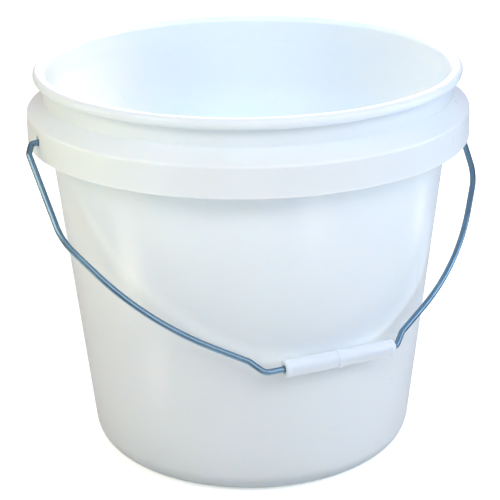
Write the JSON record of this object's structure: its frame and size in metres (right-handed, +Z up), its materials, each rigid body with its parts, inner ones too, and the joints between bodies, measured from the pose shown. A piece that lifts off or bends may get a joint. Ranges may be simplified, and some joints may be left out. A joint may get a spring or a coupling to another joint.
{
  "type": "fermenting bucket",
  "caption": "Round tapered plastic bucket with a rolled rim, a hollow handle band under the rim and a wire bail that swings over the top, with a tubular hand grip.",
  "frame": {"origin": "centre of the bucket's base, on the surface it stands on", "axes": "+Z up along the bucket's axis; X through the two ears, parallel to the bail's hinge line; the bail hangs towards -Y"},
  "size_m": [0.278, 0.2628, 0.2376],
  "materials": {
    "pail_plastic": "natural white high-density polyethylene, slightly translucent, satin",
    "wire_steel": "zinc plated steel wire, smooth drawn surface",
    "grip_plastic": "white polypropylene, soft gloss"
  },
  "bodies": {
    "pail": {"pail": "pail_plastic"},
    "bail": {"bail_wire": "wire_steel"},
    "grip": {"hand_grip": "grip_plastic"}
  },
  "joints": [
    {"name": "bail_swing", "type": "hinge", "parent": "pail", "child": "bail", "pos_m": [0, 0, 0.2048], "axis": [-1, 0, 0], "range_deg": [0, 271]},
    {"name": "grip_spin", "type": "hinge", "parent": "bail", "child": "grip", "pos_m": [0.004, -0.11285, 0.08997], "axis": [1, 0, 0], "continuous": true}
  ]
}
